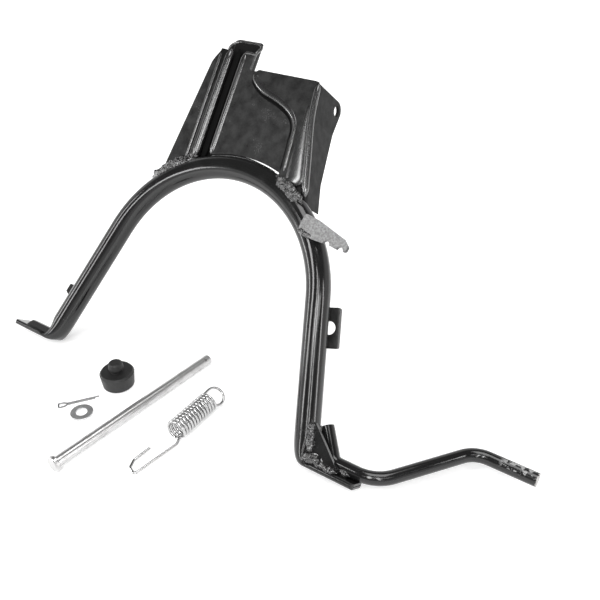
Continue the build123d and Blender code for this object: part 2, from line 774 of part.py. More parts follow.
def main():
    """Builds every piece, puts the stand in its pose and writes one file a piece."""
    os.makedirs("parts", exist_ok=True)
    to_pivot = Location((-BRACKET_CENTRE_X, -PIVOT_Y, -PIVOT_Z - RISE))
    pose = Location((0, 0, 0), (-LEAN, 0, 0)) * to_pivot
    pieces = {name: pose * piece for name, piece in stand_pieces().items()}
    floor_z = min(pieces[name].bounding_box().min.Z for name in ("left_foot", "right_foot"))
    pieces.update(loose_pieces(floor_z))
    for name, piece in pieces.items():
        export_step(piece, f"parts/{name}.step")
    print(f"{len(pieces)} pieces, floor at {floor_z:.2f}")


main()
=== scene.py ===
# %% [markdown]
# # A motorcycle centre stand, dressed for its picture
#
# The stand arrives as a finished solid model: a bent tube, a folded sheet bracket, a lever, and the
# loose hardware that goes with it. This lesson adds what makes it look real: the camera, the light,
# gloss paint with its small faults, rippled weld beads, bright and satin metal, and rubber.
# The shapes of the solids stay as they are, so everything here is laid over them.

# %% Open the frame
from math import cos, pi, radians, sin, sqrt

import bmesh
import bpy
from mathutils import Matrix, Vector, noise


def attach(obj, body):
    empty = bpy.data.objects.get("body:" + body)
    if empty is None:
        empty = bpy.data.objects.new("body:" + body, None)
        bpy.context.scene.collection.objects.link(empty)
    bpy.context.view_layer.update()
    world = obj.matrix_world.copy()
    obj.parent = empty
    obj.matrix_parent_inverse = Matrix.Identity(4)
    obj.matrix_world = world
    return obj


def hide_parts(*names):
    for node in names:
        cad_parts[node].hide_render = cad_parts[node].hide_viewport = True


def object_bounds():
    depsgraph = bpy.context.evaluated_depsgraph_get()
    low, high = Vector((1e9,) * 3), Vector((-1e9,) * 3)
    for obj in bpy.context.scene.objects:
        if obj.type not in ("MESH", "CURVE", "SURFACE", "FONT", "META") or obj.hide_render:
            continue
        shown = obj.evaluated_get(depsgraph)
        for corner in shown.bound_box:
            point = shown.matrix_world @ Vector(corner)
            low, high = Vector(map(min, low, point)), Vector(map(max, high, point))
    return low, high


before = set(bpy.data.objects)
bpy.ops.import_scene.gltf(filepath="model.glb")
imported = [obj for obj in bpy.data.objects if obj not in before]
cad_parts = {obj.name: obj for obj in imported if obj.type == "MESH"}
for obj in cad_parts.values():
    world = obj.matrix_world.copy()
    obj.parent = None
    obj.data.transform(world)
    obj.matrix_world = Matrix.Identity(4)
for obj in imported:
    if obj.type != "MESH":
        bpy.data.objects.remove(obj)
cad_box = [list(corner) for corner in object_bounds()]
FLOOR_Z = cad_box[0][2]
print("pieces in the frame:", len(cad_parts), "floor at", round(FLOOR_Z, 4))

# %% [markdown]
# The stand leans back on its feet, so its own "up" isn't the world's. The welds and wear marks are
# easiest to place on the stand as it was drawn: X across, Y to the back, Z up the stand, in
# millimetres. One small function turns such a point into the frame, in metres.

# %% Places on the stand
MM = 0.001
LEAN = radians(37)
PIVOT_ON_STAND = Vector((-14.5, 40.0, 206.5))


def turned(direction):
    """A direction on the upright stand, in the leaning frame."""
    return Matrix.Rotation(-LEAN, 3, "X") @ Vector(direction)


def on_stand(x, y, z):
    """A point of the upright stand in millimetres, in the frame in metres."""
    return turned(Vector((x, y, z)) - PIVOT_ON_STAND) * MM


print("arch centre lies at", [round(v, 4) for v in on_stand(0, 0, 0)])

# %% [markdown]
# A camera is a place and three directions. These come from matching the arch, the legs and the floor
# with the picture: the camera looks down at about 34 degrees, from the front and a little to the right.
# The lens sees 46 degrees across, and nothing is out of focus.

# %% Camera
CAMERA_AT = Vector((0.39863, -0.563605, 0.222444))
CAMERA_RIGHT = Vector((0.83332, 0.55278, -0.00187))
CAMERA_UP = Vector((-0.30665, 0.46509, 0.83046))
camera = bpy.data.objects.new("camera", bpy.data.cameras.new("camera"))
camera.data.lens = 42
camera.data.sensor_width = 36
camera.data.clip_start = 0.01
axes = Matrix((CAMERA_RIGHT, CAMERA_UP, CAMERA_RIGHT.cross(CAMERA_UP))).transposed()
camera.matrix_world = Matrix.Translation(CAMERA_AT) @ axes.to_4x4()
bpy.context.scene.collection.objects.link(camera)
bpy.context.scene.camera = camera
bpy.context.scene.view_settings.view_transform = "Standard"
print("camera looks along", [round(v, 3) for v in -axes.col[2]])

# %% [markdown]
# Every finish below is a small network of nodes. Written out node by node, such networks are long and
# hard to read, so two helpers come first. `Sock` wraps one socket and lets us write sums in the usual
# way: `1 - mask * 0.5` adds the two Math nodes it needs. `Tree.add` makes any other node.

# %% A socket that can be added and multiplied
class Sock:
    """A node's output, on which ordinary arithmetic builds Math nodes."""

    def __init__(self, tree, socket):
        self.tree = tree
        self.socket = socket

    def math(self, operation, first, second):
        return self.tree.add("ShaderNodeMath", {"operation": operation}, {0: first, 1: second})

    def __add__(self, other):
        return self.math("ADD", self, other)

    def __sub__(self, other):
        return self.math("SUBTRACT", self, other)

    def __rsub__(self, other):
        return self.math("SUBTRACT", other, self)

    def __mul__(self, other):
        return self.math("MULTIPLY", self, other)

    def __or__(self, other):
        return self.math("MAXIMUM", self, other)

    __radd__ = __add__
    __rmul__ = __mul__


print("sums on sockets:", [name for name in vars(Sock) if name.startswith("__r")])

# %% [markdown]
# The other helper stands for the whole network. Its one method makes a node of any kind. It sets the
# node's settings first, because they decide which sockets the node has, and then fills the sockets, by
# number or by name, with plain values or with links.

# %% A tree that makes every other node
class Tree:
    """The nodes of one material or of the world."""

    def __init__(self, owner):
        owner.use_nodes = True
        self.nodes = owner.node_tree.nodes
        self.links = owner.node_tree.links
        self.nodes.clear()

    def add(self, kind, settings=None, sockets=None, take=0):
        """A node of that kind: its settings are set first, then the values or links of its sockets."""
        node = self.nodes.new(kind)
        for name, value in (settings or {}).items():
            setattr(node, name, value)
        for key, value in (sockets or {}).items():
            socket = self.find(node.inputs, key)
            if isinstance(value, Sock):
                self.links.new(value.socket, socket)
            else:
                socket.default_value = value
        return Sock(self, self.find(node.outputs, take)) if node.outputs else node

    def find(self, sockets, key):
        """The socket with that number, or the one in use with that name."""
        if isinstance(key, int):
            return [s for s in sockets if s.enabled][key]
        return next(s for s in sockets if s.enabled and s.name == key)


# %% [markdown]
# Some pieces of a network come back in every finish. Noise gives patches, a soft step sharpens them into
# marks, and a mix blends two colours. Places come from the object's own coordinates, which are the
# frame's, so that a mark put at a point in metres stays there.

# %% Patches, marks and mixed colours
def place(tree):
    """The point on the surface, in metres."""
    return tree.add("ShaderNodeTexCoord", take="Object")


def patches(tree, size, detail=3.0, where=None):
    """Soft noise from 0 to 1 whose patches are about that size, in metres."""
    values = {"Vector": where or place(tree), "Scale": 1 / size, "Detail": detail}
    return tree.add("ShaderNodeTexNoise", {"noise_dimensions": "3D"}, values)


def marks(tree, source, low, high):
    """0 where the source is under low, 1 where it is over high, and soft between."""
    values = {"Value": source, "From Min": low, "From Max": high}
    return tree.add("ShaderNodeMapRange", {"interpolation_type": "SMOOTHSTEP"}, values)


def grey(value, warmth=0.0):
    """A grey colour, a little warm or cold."""
    return (value * (1 + warmth), value, value * (1 - warmth), 1)


def mixed(tree, mask, first, second):
    """The first colour where the mask is 0 and the second where it is 1."""
    return tree.add("ShaderNodeMix", {"data_type": "RGBA"}, {"Factor": mask, "A": first, "B": second})


def along(tree, direction, origin):
    """How far the surface point lies along a direction from an origin, in metres."""
    shifted = tree.add("ShaderNodeVectorMath", {"operation": "SUBTRACT"}, {0: place(tree), 1: origin})
    return tree.add("ShaderNodeVectorMath", {"operation": "DOT_PRODUCT"}, {0: shifted, 1: direction}, "Value")


def facing(tree, direction):
    """1 where the surface faces that direction, 0 at right angles to it."""
    normal = tree.add("ShaderNodeNewGeometry", take="Normal")
    return tree.add("ShaderNodeVectorMath", {"operation": "DOT_PRODUCT"}, {0: normal, 1: direction}, "Value")


# %% [markdown]
# A real edge is never perfectly sharp: paint and handling round it, and the thin round catches the
# light as a bright line. The Bevel node gives the normal such a rounding, and the bump is laid over it.
# The last step of each finish is the same, so it is one function.

# %% The surface that ends each finish
def surface(material, tree, colour, rough, height, deep, edge=0.0005, **fixed):
    """Joins colour, roughness and bump into the material's output; fixed values go on their own sockets."""
    relief = {"Strength": 1.0, "Distance": deep, "Height": height}
    if edge:
        relief["Normal"] = tree.add("ShaderNodeBevel", {"samples": 6}, {"Radius": edge})
    bumped = tree.add("ShaderNodeBump", {}, relief)
    values = {"Base Color": colour, "Roughness": rough, "Normal": bumped}
    for name, value in fixed.items():
        values[name.replace("_", " ").title().replace("Ior", "IOR")] = value
    shader = tree.add("ShaderNodeBsdfPrincipled", {}, values)
    tree.add("ShaderNodeOutputMaterial", {}, {"Surface": shader})
    return material


def new_finish(name):
    """An empty material and its tree."""
    material = bpy.data.materials.new(name)
    return material, Tree(material)


# %% [markdown]
# The frame is dipped or sprayed in gloss black. Seen close, such paint isn't flat: it has a fine
# orange peel, slow waves where it ran together, dust nibs, and cloudy patches that are a little less
# shiny. All of that sits in the bump and the roughness, because the colour itself hardly changes.

# %% Gloss black paint
PAINT_BLACK = 0.006
PEEL_SIZE = 0.0022
WAVE_SIZE = 0.012
CLOUD_SIZE = 0.02
DUST_SIZE = 0.0011


def paint_nodes(tree):
    """Colour, roughness and height of the black paint, for finishes that add to it."""
    clouds = patches(tree, CLOUD_SIZE, 5.0)
    dust = marks(tree, patches(tree, DUST_SIZE, 2.0), 0.76, 0.84)
    colour = mixed(tree, clouds, grey(PAINT_BLACK, 0.03), grey(PAINT_BLACK * 1.9, -0.02))
    rough = 0.1 + marks(tree, clouds, 0.35, 0.75) * 0.08 + dust * 0.15
    height = patches(tree, PEEL_SIZE, 2.0) * 0.35 + patches(tree, WAVE_SIZE, 2.0) * 1.2 + dust * 0.25
    return colour, rough, height


def gloss_paint(name, **fixed):
    material, tree = new_finish(name)
    colour, rough, height = paint_nodes(tree)
    return surface(material, tree, colour, rough, height, 0.00006, **fixed)


print("orange peel every", PEEL_SIZE / MM, "mm, waves every", WAVE_SIZE / MM, "mm")

# %% [markdown]
# The pressed sheets show a softer coat than the tube: the same black over the rolled surface of the
# steel, with cloudy patches of a dark grey and a faint grain that breaks up the reflections.

# %% Black paint over rolled sheet
GRAIN_SIZE = 0.0012
SMOKE_SIZE = 0.01


def sheet_paint(name, **fixed):
    material, tree = new_finish(name)
    colour, rough, height = paint_nodes(tree)
    grain = patches(tree, GRAIN_SIZE, 3.0)
    smoke = patches(tree, SMOKE_SIZE, 8.0)
    colour = mixed(tree, marks(tree, smoke * 0.8 + grain * 0.2, 0.28, 0.72), grey(0.014), grey(0.034))
    rough = rough + 0.06 + marks(tree, grain, 0.4, 0.7) * 0.06
    return surface(material, tree, colour, rough, height + grain * 0.1, 0.00002, edge=0.001, **fixed)


def cheek_paint(name):
    """The side that never sees the spray straight on dries duller."""
    return sheet_paint(name, specular_ior_level=0.04)


def channel_paint(name):
    """Deep in the channel the paint has nothing bright to mirror."""
    return gloss_paint(name, specular_ior_level=0.2)


print("sheet grain every", GRAIN_SIZE / MM, "mm")

# %% [markdown]
# Where a sheet turns over, the paint is drawn thin over the bend and dries duller, so its highlight is
# broad instead of a hairline. Beside an overlap lies a painted shadow: a near-black, dull strip for the
# shade.

# %% Paint on a bend, and a painted shadow beside an overlap
def bend_paint(name):
    material, tree = new_finish(name)
    colour, rough, height = paint_nodes(tree)
    grain = patches(tree, GRAIN_SIZE, 3.0)
    colour = mixed(tree, grain, grey(0.005), grey(0.012))
    rough = rough + 0.1 + grain * 0.05
    return surface(material, tree, colour, rough, height, 0.00001, edge=0, specular_ior_level=1.0,
                   coat_weight=1.0, coat_roughness=0.16)


def painted_shadow_finish(name):
    material, tree = new_finish(name)
    # Painted shadow: the near-black, dull colour stands in for the shade beside an overlap.
    colour = mixed(tree, patches(tree, GRAIN_SIZE, 2.0), grey(0.001), grey(0.003))
    rough = 0.8 + patches(tree, SMOKE_SIZE) * 0.1
    height = patches(tree, PEEL_SIZE, 2.0)
    return surface(material, tree, colour, rough, height, 0.00003, edge=0, specular_ior_level=0.1)


# %% [markdown]
# The rider's boot and the shop's shelf have scuffed the lever near its end, and the bar's sawn end was
# never covered well. Both marks are placed by how far along the bar the point lies.

# %% Scuffed lever
LEVER_ELBOW = on_stand(275.0, 62.5, -44.6)
LEVER_END = on_stand(329.0, 62.0, -45.0)
LEVER_AXIS = (LEVER_END - LEVER_ELBOW).normalized()
SCUFF_FROM = -0.034
SCUFF_FADE = 0.008
SCRAPE_SIZE = 0.0035
CUT_FROM = -0.0006
CUT_FADE = 0.0005
CHIP_SIZE = 0.002


def lever_paint(name):
    material, tree = new_finish(name)
    colour, rough, height = paint_nodes(tree)
    reach = along(tree, LEVER_AXIS, LEVER_END)
    stretch = marks(tree, reach, SCUFF_FROM, SCUFF_FROM + SCUFF_FADE)
    top = marks(tree, facing(tree, turned((0.0, -0.75, 0.66))), 0.45, 0.85)
    scrape = marks(tree, patches(tree, SCRAPE_SIZE, 6.0), 0.5, 0.58)
    scuff = stretch * top * scrape
    sawn = marks(tree, reach, CUT_FROM - CUT_FADE, CUT_FROM)
    cut = sawn * marks(tree, patches(tree, CHIP_SIZE, 4.0), 0.38, 0.5)
    colour = mixed(tree, scuff, colour, grey(0.3))
    colour = mixed(tree, cut, colour, grey(0.42, 0.03))
    rough = rough + (scuff | cut) * 0.25
    height = height + scrape * stretch * -0.9
    return surface(material, tree, colour, rough, height, 0.00006)


print("the lever's last stretch runs along", [round(v, 3) for v in LEVER_AXIS])

# %% [markdown]
# The hook arm looks pale and dull beside the rest. Its front face is coloured a mottled pale grey, while its
# edges stay as black as the frame. The mask is how squarely a point faces front.

# %% Pale front on the hook arm
STAND_FRONT = turned((0, -1, 0))
MOTTLE_SIZE = 0.0016


def arm_paint(name):
    material, tree = new_finish(name)
    colour, rough, height = paint_nodes(tree)
    mottle = patches(tree, MOTTLE_SIZE, 5.0)
    pale_front = mixed(tree, marks(tree, mottle, 0.3, 0.7), grey(0.11), grey(0.24))
    front = marks(tree, facing(tree, STAND_FRONT), 0.9, 0.97)
    colour = mixed(tree, front, colour, pale_front)
    rough = rough + front * 0.32
    return surface(material, tree, colour, rough, height + mottle * 1.2, 0.00008, edge=0.0007)


# %% [markdown]
# Weld metal was never smooth, and paint lies over it unevenly: the crests shine, the pits stay dull and
# a shade greyer with trapped dust.

# %% Paint over weld metal
PIT_SIZE = 0.0034


def weld_paint(name):
    material, tree = new_finish(name)
    colour, rough, height = paint_nodes(tree)
    pits = patches(tree, PIT_SIZE, 2.0)
    colour = mixed(tree, marks(tree, pits, 0.5, 0.62), colour, grey(0.05, 0.02))
    rough = rough + marks(tree, pits, 0.4, 0.7) * 0.15
    height = height + pits * 1.2
    return surface(material, tree, colour, rough, height, 0.00012, coat_weight=1.0, coat_roughness=0.05)


# %% [markdown]
# The pivot pin is drawn bar with a satin surface. Drawing leaves streaks along its length, so the noise
# is stretched: the point is measured along the pin and that part is made small before the noise sees it.

# %% Satin steel with lengthwise streaks
PIN_DIRECTION = Vector((0.0845, 0.9963, -0.0137)).normalized()
TAKEN_OUT = 0.985
STREAK_SIZE = 0.0009
STAIN_SIZE = 0.011
NICK_SIZE = 0.0016


def pin_steel(name):
    material, tree = new_finish(name)
    reach = along(tree, PIN_DIRECTION, (0, 0, 0))
    lengthwise = {0: tuple(PIN_DIRECTION), "Scale": reach * TAKEN_OUT}
    squeeze = tree.add("ShaderNodeVectorMath", {"operation": "SCALE"}, lengthwise)
    streaked = tree.add("ShaderNodeVectorMath", {"operation": "SUBTRACT"}, {0: place(tree), 1: squeeze})
    streaks = patches(tree, STREAK_SIZE, 3.0, streaked)
    stains = marks(tree, patches(tree, STAIN_SIZE, 6.0), 0.5, 0.72)
    nicks = marks(tree, patches(tree, NICK_SIZE, 2.0), 0.69, 0.74)
    colour = mixed(tree, streaks, grey(0.42, 0.01), grey(0.7))
    colour = mixed(tree, stains * 0.5, colour, grey(0.3, 0.02))
    rough = 0.24 + streaks * 0.14 + stains * 0.1
    height = streaks * 0.5 - nicks * 0.8
    return surface(material, tree, colour, rough, height, 0.00005, edge=0.0003, metallic=1.0)


# %% [markdown]
# Washer and split pin are zinc plated. Under a loupe zinc has a faint crystal pattern, each grain a
# little lighter or darker than the next, which a Voronoi texture gives.

# %% Bright zinc plate
CRYSTALS_PER_METRE = 900.0
BLOOM_SIZE = 0.004


def zinc_plate(name):
    material, tree = new_finish(name)
    pattern = {"Vector": place(tree), "Scale": CRYSTALS_PER_METRE}
    grains = tree.add("ShaderNodeTexVoronoi", {"feature": "F1"}, pattern, "Color")
    shade = tree.add("ShaderNodeSeparateColor", {}, {"Color": grains}, "Red")
    bloom = patches(tree, BLOOM_SIZE, 4.0)
    colour = mixed(tree, shade * 0.5 + bloom * 0.4, grey(0.5), grey(0.74, -0.01))
    rough = 0.26 + bloom * 0.16
    return surface(material, tree, colour, rough, shade * 0.4 + bloom, 0.00004, edge=0.0002, metallic=1.0)


# %% [markdown]
# The spring is bright: each coil mirrors the white room and the dark ceiling as thin lines. Only fine
# die marks along the wire and a few dull spots keep it from being a perfect mirror.

# %% Bright spring wire
SPOT_SIZE = 0.003
DIE_MARK_SIZE = 0.0007


def spring_wire(name):
    material, tree = new_finish(name)
    spots = marks(tree, patches(tree, SPOT_SIZE, 5.0), 0.55, 0.7)
    die_marks = patches(tree, DIE_MARK_SIZE, 3.0)
    colour = mixed(tree, spots, grey(0.5), grey(0.34, 0.01))
    rough = 0.12 + die_marks * 0.08 + spots * 0.14
    return surface(material, tree, colour, rough, die_marks * 0.3, 0.00001, edge=0.0, metallic=1.0)


def soft_wire(name):
    """The split pin's half-round wire: darker and duller than the spring."""
    material, tree = new_finish(name)
    bloom = patches(tree, SPOT_SIZE, 4.0)
    colour = mixed(tree, bloom, grey(0.16), grey(0.34))
    return surface(material, tree, colour, 0.24 + bloom * 0.16, bloom, 0.00003, edge=0.0, metallic=1.0)


# %% [markdown]
# Moulded rubber is nearly black and dull, with a fine grain, and its rubbed edges turn grey. Those
# come from how strongly the rounded normal departs from the flat one, so wear follows every edge.

# %% Moulded rubber
RUBBER_GRAIN = 0.0007
CHALK_SIZE = 0.007
WORN_EDGE = 0.0009


def rubber(name):
    material, tree = new_finish(name)
    grain = patches(tree, RUBBER_GRAIN, 4.0)
    chalk = patches(tree, CHALK_SIZE, 5.0)
    rounded = tree.add("ShaderNodeBevel", {"samples": 6}, {"Radius": WORN_EDGE})
    flat = tree.add("ShaderNodeNewGeometry", take="Normal")
    same = tree.add("ShaderNodeVectorMath", {"operation": "DOT_PRODUCT"}, {0: rounded, 1: flat}, "Value")
    rubbed = marks(tree, 1 - same, 0.02, 0.2) * marks(tree, chalk, 0.3, 0.6)
    colour = mixed(tree, marks(tree, chalk, 0.35, 0.75) * 0.6, grey(0.005), grey(0.014))
    colour = mixed(tree, rubbed * 0.7, colour, grey(0.06))
    rough = 0.42 + grain * 0.2
    return surface(material, tree, colour, rough, grain + chalk * 0.3, 0.0001, edge=0.0006)


# %% [markdown]
# Now each solid gets its finish. The solids carry their material in a slot, so the new one goes there.
# The arch, the lever and the small welded parts share the gloss paint; folded sheets have their own.

# %% Finishes on the solids
FINISHES = {
    "black gloss": (gloss_paint, "arch_tube left_foot right_foot stop_lug left_foot_web foot_gusset"),
    "black sheet": (sheet_paint, "bracket_left_cheek bracket_panel buffer_tab"),
    "channel paint": (channel_paint, "bracket_channel"),
    "dull sheet": (cheek_paint, "bracket_right_cheek"),
    "black lever": (lever_paint, "kick_lever"),
    "pale arm": (arm_paint, "spring_hook_arm"),
    "satin pin": (pin_steel, "pivot_pin"),
    "zinc": (zinc_plate, "pin_washer"),
    "soft wire": (soft_wire, "split_pin"),
    "spring wire": (spring_wire, "return_spring"),
    "rubber": (rubber, "rubber_buffer"),
}


def coat(piece, material):
    """Puts one material in every slot of a piece."""
    piece.data.materials.clear()
    piece.data.materials.append(material)


for finish_name, (make_finish, wanted) in FINISHES.items():
    finish = make_finish(finish_name)
    for node_name in wanted.split():
        coat(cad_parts[node_name], finish)
    print(finish_name, "on", wanted)

# %% [markdown]
# Edges and weld beads are both given by a few points and then carried along a smooth line. A
# Catmull-Rom curve passes through every one of its points, so the line goes where the points say.

# %% A smooth line through a few points
def smooth_path(points, steps):
    """Evenly spread points of a Catmull-Rom curve through the given ones."""
    ends = [2 * points[0] - points[1]] + list(points) + [2 * points[-1] - points[-2]]
    path = []
    for i in range(steps + 1):
        whole = i / steps * (len(points) - 1)
        k = min(int(whole), len(points) - 2)
        t = whole - k
        a, b, c, d = ends[k:k + 4]
        squared = (2 * a - 5 * b + 4 * c - d) * t * t
        cubed = (3 * (b - c) + d - a) * t ** 3
        path.append(0.5 * (2 * b + (c - a) * t + squared + cubed))
    return path


# %% [markdown]
# A bmesh is a mesh that is still being built. Once its faces are there it becomes the data of an
# object, and smooth shading makes its many small faces look like one round surface.

# %% From a bmesh to an object
def finished_piece(name, shape):
    """Turns a bmesh into a smooth object of the scene."""
    data = bpy.data.meshes.new(name)
    shape.to_mesh(data)
    shape.free()
    for face in data.polygons:
        face.use_smooth = True
    piece = bpy.data.objects.new(name, data)
    bpy.context.scene.collection.objects.link(piece)
    return piece


def skin(mesh, rings):
    """Joins each ring of points to the next and closes both ends."""
    count = len(rings[0])
    for low, high in zip(rings, rings[1:]):
        for j in range(count):
            k = (j + 1) % count
            mesh.faces.new((low[j], low[k], high[k], high[j]))
    mesh.faces.new(rings[0][::-1])
    mesh.faces.new(rings[-1])


# %% [markdown]
# A sheet's edge is never square after pressing and dipping: it is a rounded shoulder that draws a soft
# bright line, and it tells the eye where one sheet lies on the next. Each shoulder is an oval carried
# along the edge, level with the sheet's front, so that it grows out of the sheet. It starts and ends
# thin, because a pressed edge runs out into the flat.

# %% An oval carried along an edge
OVAL = 20
STEPS_PER_POINT = 12
END_SIZE = 0.1
END_SWELL = 14


def rolled_edge(name, path, wide, deep):
    """A shoulder along points of the upright stand, in millimetres. The half width runs from the
    first value of wide to its second one; deep is the half depth."""
    shape = bmesh.new()
    points = smooth_path([Vector(p) for p in path], STEPS_PER_POINT * len(path))
    rings = []
    for i, centre in enumerate(points):
        ahead = (points[min(i + 1, len(points) - 1)] - points[max(i - 1, 0)]).normalized()
        flat = ahead.cross(Vector((0, 1, 0))).normalized()
        out = flat.cross(ahead)
        share = i / (len(points) - 1)
        size = min(1.0, (END_SIZE + END_SWELL * min(share, 1 - share)) ** 0.5)
        half = wide[0] + (wide[1] - wide[0]) * share
        ring = []
        for j in range(OVAL):
            angle = 2 * pi * j / OVAL
            offset = flat * (cos(angle) * half * size) + out * (sin(angle) * deep * size)
            ring.append(shape.verts.new(on_stand(*(centre + offset))))
        rings.append(ring)
    skin(shape, rings)
    bmesh.ops.recalc_face_normals(shape, faces=shape.faces)
    return finished_piece(name, shape)


# %% [markdown]
# The front sheet sweeps down over the panel in an S, the panel's left side is rolled into the channel,
# and left of the channel stands a round ridge. The channel's own top edge is a rounded rim.

# %% Shoulders of the bracket
ARCH_R = 123.0
TUBE_R = 11.0
CROWN_R = ARCH_R + TUBE_R
WEB_CURVE = ((-20, 214), (-18, 206), (-5, 197), (16, 190), (30, 183), (38, 174), (40.5, 160),
             (42.3, 140), (43, 131))


def beside(curve, away, level):
    """The curve shifted to its upper right side by a distance, at one level of the stand."""
    shifted = []
    for i, (x, z) in enumerate(curve):
        back, ahead = curve[max(i - 1, 0)], curve[min(i + 1, len(curve) - 1)]
        run, rise = ahead[0] - back[0], ahead[1] - back[1]
        long = (run * run + rise * rise) ** 0.5
        shifted.append((x - rise / long * away, level, z + run / long * away))
    return shifted


def upright(x, y, heights):
    """Points straight above one another."""
    return [(x, y, z) for z in heights]


RIM = [(-62.5, -1, 233), (-62.5, 4, 240), (-58, 7.6, 244.4), (-46, 7.6, 244.9), (-34, 7.6, 244.4),
       (-29.8, 5, 240), (-29.8, 0, 233), (-29.8, -1, 222)]
RIGHT_FOLD = [(50, -4.4, 215), (54.5, -4.4, 184), (65, -4.4, 147), (74.4, -4.4, 114)]
PANEL_TOP = [(-39.5, -1.8, 231.5), (-33.5, -1.8, 231.8), (-28.2, -1.8, 231.2)]
BULGE = [(48.6, -4.6, 196), (52, -4.6, 165), (60, -4.6, 120)]
SEAM = [(CROWN_R * cos(radians(a)), -1.5, CROWN_R * sin(radians(a))) for a in (107, 98, 88, 75)]

# Each shoulder's line, its half width at both ends, its half depth and its finish
SHOULDERS = {
    "web_edge": (beside(WEB_CURVE, 3.0, -5.3), (4.0, 1.2), 1.1, "bend"),
    # Painted shadow: a near-black strip along the web's S-edge, where there is only shade.
    "web_painted_shadow": (beside(WEB_CURVE, -1.2, -2.9), (1.9, 1.9), 0.5, "painted_shade"),
    "panel_edge": (upright(-40.2, -1.6, (129, 180, 232)), (3.6, 3.6), 2.6, "bend"),
    "panel_top": (PANEL_TOP, (1.5, 1.5), 1.9, "bend"),
    "channel_ridge": (upright(-60.0, 1.0, (121, 180, 234)), (4.4, 4.4), 4.6, "bend"),
    # Painted shadows: near-black strips beside the ridge and in the channel, where there is only shade.
    "ridge_painted_shadow": (upright(-64.6, -0.2, (121, 180, 231)), (1.9, 1.9), 0.8, "painted_shade"),
    "channel_painted_shadow": (upright(-51.6, 2.0, (124, 180, 236)), (3.4, 3.4), 0.8, "painted_shade"),
    "lip_edge": (upright(-67.8, -1.6, (116, 180, 231)), (1.9, 1.9), 1.9, "bend"),
    "channel_rim": (RIM, (1.5, 1.5), 1.5, "bend"),
    "right_fold": (RIGHT_FOLD, (3.0, 3.8), 2.6, "bend"),
    "facet_bulge": (BULGE, (3.0, 10.0), 1.7, "bend"),
    "crown_seam": (SEAM, (1.8, 0.9), 1.6, "bend"),
}
print("shoulders to lay:", len(SHOULDERS))

# %% [markdown]
# Each shoulder is a piece of its own, with its own finish, and rides on the frame's one body, so it goes
# wherever the stand goes.

# %% Lay the shoulders
# The strips of painted shadow take the near-black finish.
edge_finish = {"bend": bend_paint("black bend"), "painted_shade": painted_shadow_finish("painted shadow")}
for edge_name, (line, wide, deep, kind) in SHOULDERS.items():
    shoulder = rolled_edge(edge_name, line, wide, deep)
    coat(shoulder, edge_finish[kind])
    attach(shoulder, "root")
    print(edge_name, "has", len(shoulder.data.polygons), "faces")

# %% [markdown]
# A weld bead is a row of small frozen pools, each lapping the last. The solid model has a plain round
# run in each place; here a ring of points is carried along the same run, and its radius swells and
# shrinks once for every pool, later at the sides than on top, so that the ripples curve like scales.
# Noise makes each pool different, and the ends are closed like a dome.

# %% A rippled bead
RING = 28
RIPPLE = 0.0028
RINGS_PER_POOL = 9
POOL_HEIGHT = 0.13
SIDE_LAG = 0.35
LUMP = 0.44
FINE_LUMP = 0.06


def add_bead(mesh, points, radius, seed):
    """Adds one rippled run to a bmesh."""
    length = sum((b - a).length for a, b in zip(points, points[1:])) + 2 * radius
    steps = max(24, int(length / RIPPLE * RINGS_PER_POOL))
    path = smooth_path(points, steps)
    first = (path[0] - path[1]).normalized() * radius
    last = (path[-1] - path[-2]).normalized() * radius
    path = [path[0] + first] + path + [path[-1] + last]
    rings = []
    for i, centre in enumerate(path):
        ahead = path[min(i + 1, len(path) - 1)] - path[max(i - 1, 0)]
        turn = ahead.to_track_quat("Z", "Y")
        share = i / (len(path) - 1) * length
        near_end = min(share, length - share) / radius
        dome = sqrt(max(0.0, 1 - (1 - min(near_end, 1.0)) ** 2))
        ring = []
        for j in range(RING):
            angle = 2 * pi * j / RING
            wave = (share / RIPPLE + SIDE_LAG * cos(angle)) % 1.0
            pool = POOL_HEIGHT * (wave ** 0.6 - 0.62)
            spot = Vector((0.9 * share / radius, 1.2 * cos(angle), 1.2 * sin(angle) + seed))
            lump = LUMP * noise.noise(spot) + FINE_LUMP * noise.noise(spot * 2.3)
            size = radius * dome * (1 + pool + lump)
            ring.append(mesh.verts.new(centre + turn @ Vector((cos(angle) * size, sin(angle) * size, 0))))
        rings.append(ring)
    skin(mesh, rings)


print("a bead has a pool every", RIPPLE / MM, "mm")

# %% [markdown]
# Small drops of metal fly from the arc and stick near the bead. A few balls of different sizes are
# scattered about each run. The bead swallows many of them, and those that show are enough to be
# believed. Blender seeds its vector noise from the clock, so it is given a seed here: the drops then
# lie in the same places each time, and with this one none hangs in the air.

# %% Drops beside a bead
DROP_SEED = 38
DROPS = 7
DROP_SPREAD = 1.8
SMALLEST_DROP = 0.0004
DROP_RANGE = 0.0005
noise.seed_set(DROP_SEED)


def add_drops(mesh, points, spread, count, seed):
    """Adds a few drops of spatter around the run."""
    for i in range(count):
        at = points[0].lerp(points[-1], 0.5 + 0.6 * noise.noise(Vector((i * 1.7, seed, 0.3))))
        shift = noise.noise_vector(Vector((i * 2.3, seed, 4.1))) * spread
        size = SMALLEST_DROP + DROP_RANGE * abs(noise.noise(Vector((i * 3.1, seed, 8.2))))
        bmesh.ops.create_icosphere(mesh, subdivisions=2, radius=size, matrix=Matrix.Translation(at + shift))


# %% [markdown]
# The beads lie where parts meet: on the crown under both cheeks, along the hook arm and the buffer
# tab, and round the gusset and the lever at the right foot. Two functions give points that are hard to
# write down as plain numbers: round the arch, and beside the sloping right leg.

# %% Where the beads run
SPLAY = radians(16.5)
FOOT_TOP_Z = -96.0


